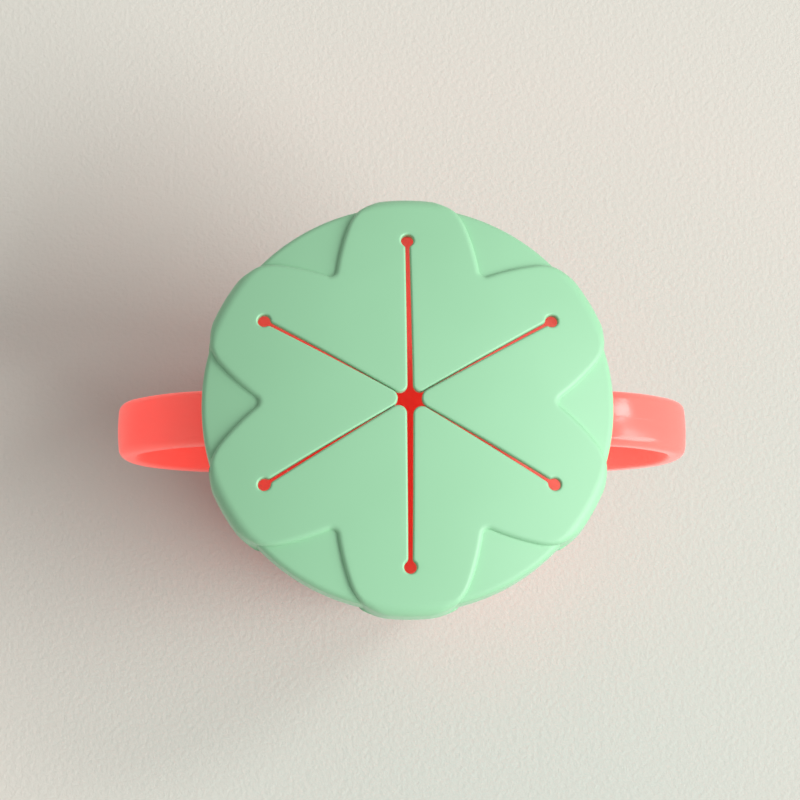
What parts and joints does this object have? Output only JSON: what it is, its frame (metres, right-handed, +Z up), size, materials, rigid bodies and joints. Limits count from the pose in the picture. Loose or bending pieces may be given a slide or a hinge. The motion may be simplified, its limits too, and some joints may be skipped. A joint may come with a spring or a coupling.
{
  "type": "toddler snack cup",
  "caption": "Toddler snack cup with side handles and a soft domed lift-off lid, whose flaps bend so a small hand can reach in while the food stays inside.",
  "frame": {"origin": "on the table under the middle of the cup", "axes": "+Z up, +X through the right-hand handle, -Y towards the person who looks at it"},
  "size_m": [0.1394, 0.1012, 0.09],
  "materials": {
    "cup_plastic": "gloss, tinted through",
    "soft_lid": "matt silicone"
  },
  "bodies": {
    "cup": {"cup": "cup_plastic"},
    "lid": {"lid": "soft_lid"},
    "flap_right": {"flap_right": "soft_lid"},
    "flap_back_right": {"flap_back_right": "soft_lid"},
    "flap_back_left": {"flap_back_left": "soft_lid"},
    "flap_left": {"flap_left": "soft_lid"},
    "flap_front_left": {"flap_front_left": "soft_lid"},
    "flap_front_right": {"flap_front_right": "soft_lid"}
  },
  "joints": [
    {"name": "lid_lift", "type": "slide", "parent": "cup", "child": "lid", "axis": [0, 0, 1], "range_m": [0, 0.06]},
    {"name": "bend_right", "type": "hinge", "parent": "lid", "child": "flap_right", "pos_m": [0.03261, 0, 0.08571], "axis": [0, -1, 0], "range_deg": [-30, 65], "stiffness_Nm_per_rad": 0.007},
    {"name": "bend_back_right", "type": "hinge", "parent": "lid", "child": "flap_back_right", "pos_m": [0.0163, 0.02824, 0.08571], "axis": [0.866, -0.5, 0], "range_deg": [-30, 65], "stiffness_Nm_per_rad": 0.007},
    {"name": "bend_back_left", "type": "hinge", "parent": "lid", "child": "flap_back_left", "pos_m": [-0.0163, 0.02824, 0.08571], "axis": [0.866, 0.5, 0], "range_deg": [-30, 65], "stiffness_Nm_per_rad": 0.007},
    {"name": "bend_left", "type": "hinge", "parent": "lid", "child": "flap_left", "pos_m": [-0.03261, 0, 0.08571], "axis": [0, 1, 0], "range_deg": [-30, 65], "stiffness_Nm_per_rad": 0.007},
    {"name": "bend_front_left", "type": "hinge", "parent": "lid", "child": "flap_front_left", "pos_m": [-0.0163, -0.02824, 0.08571], "axis": [-0.866, 0.5, 0], "range_deg": [-30, 65], "stiffness_Nm_per_rad": 0.007},
    {"name": "bend_front_right", "type": "hinge", "parent": "lid", "child": "flap_front_right", "pos_m": [0.0163, -0.02824, 0.08571], "axis": [-0.866, -0.5, 0], "range_deg": [-30, 65], "stiffness_Nm_per_rad": 0.007}
  ]
}
